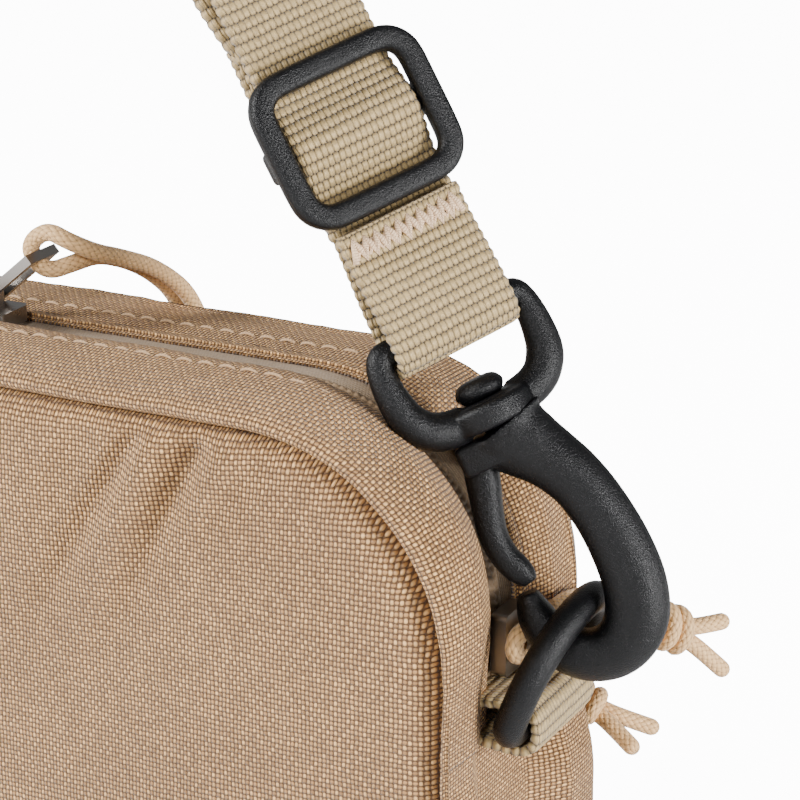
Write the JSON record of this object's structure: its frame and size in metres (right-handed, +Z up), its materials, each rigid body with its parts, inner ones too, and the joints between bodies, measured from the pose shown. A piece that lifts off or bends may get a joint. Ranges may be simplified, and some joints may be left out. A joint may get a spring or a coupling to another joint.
{
  "type": "neck pouch wallet",
  "caption": "Zip-top gusseted pouch that hangs from the neck on a doubled webbing strap with swivel snap hooks, side rings and cord zip pulls.",
  "frame": {"origin": "under the top of the strap, where it rests on the neck or a peg", "axes": "+X to the right seen from the front, -Y the pouch's front, +Z up along the hanging strap"},
  "size_m": [0.2338, 0.0647, 0.2702],
  "materials": {
    "tan_oxford": "heavy plain-weave polyester, matt",
    "binding_tape": "narrow woven tape",
    "lining": "thin plain lining",
    "zip_tape": "ribbed woven tape",
    "zip_coil": "moulded nylon coil",
    "khaki_webbing": "ribbed polyester webbing",
    "black_acetal": "fine-grained moulded acetal",
    "steel_pin": "ground pin",
    "gunmetal": "gunmetal plating",
    "tan_paracord": "braided sheath"
  },
  "bodies": {
    "pouch": {"front_panel": "tan_oxford", "back_panel": "tan_oxford", "gusset_front_band": "tan_oxford", "gusset_back_band": "tan_oxford", "lower_gusset": "tan_oxford", "zipper_tape_front": "zip_tape", "zipper_tape_back": "zip_tape", "zipper_coil": "zip_coil", "binding_front": "binding_tape", "binding_back": "binding_tape", "slip_pocket": "lining", "back_zip_tape": "zip_tape", "back_zip_coil": "zip_coil", "side_tab_right": "khaki_webbing", "side_tab_left": "khaki_webbing", "swivel_eye_right": "black_acetal", "swivel_eye_left": "black_acetal", "strap_end_loop": "khaki_webbing", "strap_fold_left": "khaki_webbing", "strap_outer_run": "khaki_webbing", "strap_inner_run": "khaki_webbing"},
    "hook_right": {"hook_right": "black_acetal", "gate_pin_right": "steel_pin"},
    "hook_left": {"hook_left": "black_acetal", "gate_pin_left": "steel_pin"},
    "gate_right": {"gate_right": "black_acetal"},
    "gate_left": {"gate_left": "black_acetal"},
    "d_ring_right": {"d_ring_right": "black_acetal"},
    "d_ring_left": {"d_ring_left": "black_acetal"},
    "triglide": {"triglide": "black_acetal", "triglide_wrap": "khaki_webbing"},
    "slider_top": {"slider_top": "gunmetal"},
    "puller_top": {"puller_top": "gunmetal", "pull_cord_top": "tan_paracord", "pull_knot_top": "tan_paracord"},
    "slider_side": {"slider_side": "gunmetal", "pull_cord_side": "tan_paracord", "pull_knot_side": "tan_paracord"},
    "slider_back": {"slider_back": "gunmetal"},
    "puller_back": {"puller_back": "gunmetal", "pull_cord_back": "tan_paracord", "pull_knot_back": "tan_paracord"}
  },
  "joints": [
    {"name": "hook_right_swivel", "type": "hinge", "parent": "pouch", "child": "hook_right", "pos_m": [0.105, 0, -0.156], "axis": [-0.5, 0, 0.866], "range_deg": [-21, 3]},
    {"name": "gate_right_spring", "type": "hinge", "parent": "hook_right", "child": "gate_right", "pos_m": [0.08795, -0.00167, -0.13674], "axis": [-0.2676, 0.9511, -0.1545], "range_deg": [-14, 0], "stiffness_Nm_per_rad": 0.02, "springref_deg": 17.19},
    {"name": "d_ring_right_tilt", "type": "hinge", "parent": "pouch", "child": "d_ring_right", "pos_m": [0.09835, 0, -0.1738], "axis": [0, 1, 0], "range_deg": [-5, 2]},
    {"name": "hook_left_swivel", "type": "hinge", "parent": "pouch", "child": "hook_left", "pos_m": [-0.105, 0, -0.156], "axis": [0.5, 0, 0.866], "range_deg": [-3, 21]},
    {"name": "gate_left_spring", "type": "hinge", "parent": "hook_left", "child": "gate_left", "pos_m": [-0.08795, -0.00167, -0.13674], "axis": [0.2676, 0.9511, -0.1545], "range_deg": [0, 14], "stiffness_Nm_per_rad": 0.02, "springref_deg": -17.19},
    {"name": "d_ring_left_tilt", "type": "hinge", "parent": "pouch", "child": "d_ring_left", "pos_m": [-0.09835, 0, -0.1738], "axis": [0, 1, 0], "range_deg": [-2, 5]},
    {"name": "triglide_slide", "type": "slide", "parent": "pouch", "child": "triglide", "axis": [-0.5, 0, 0.866], "range_m": [0, 0.03], "deforming": ["strap_inner_run"]},
    {"name": "top_slider_travel", "type": "slide", "parent": "pouch", "child": "slider_top", "axis": [1, 0, 0], "range_m": [-0.05, 0.035]},
    {"name": "top_puller_flip", "type": "hinge", "parent": "slider_top", "child": "puller_top", "pos_m": [0, 0, -0.1239], "axis": [0, 1, 0], "range_deg": [-50, 0]},
    {"name": "side_slider_travel", "type": "hinge", "parent": "pouch", "child": "slider_side", "pos_m": [0.056, 0, -0.163], "axis": [0, 1, 0], "range_deg": [0, 0.5]},
    {"name": "back_slider_travel", "type": "slide", "parent": "pouch", "child": "slider_back", "axis": [1, 0, 0], "range_m": [-0.13, 0.005]},
    {"name": "back_puller_flip", "type": "hinge", "parent": "slider_back", "child": "puller_back", "pos_m": [0.064, 0.0294, -0.183], "axis": [0, 0, 1], "range_deg": [0, 80]}
  ]
}
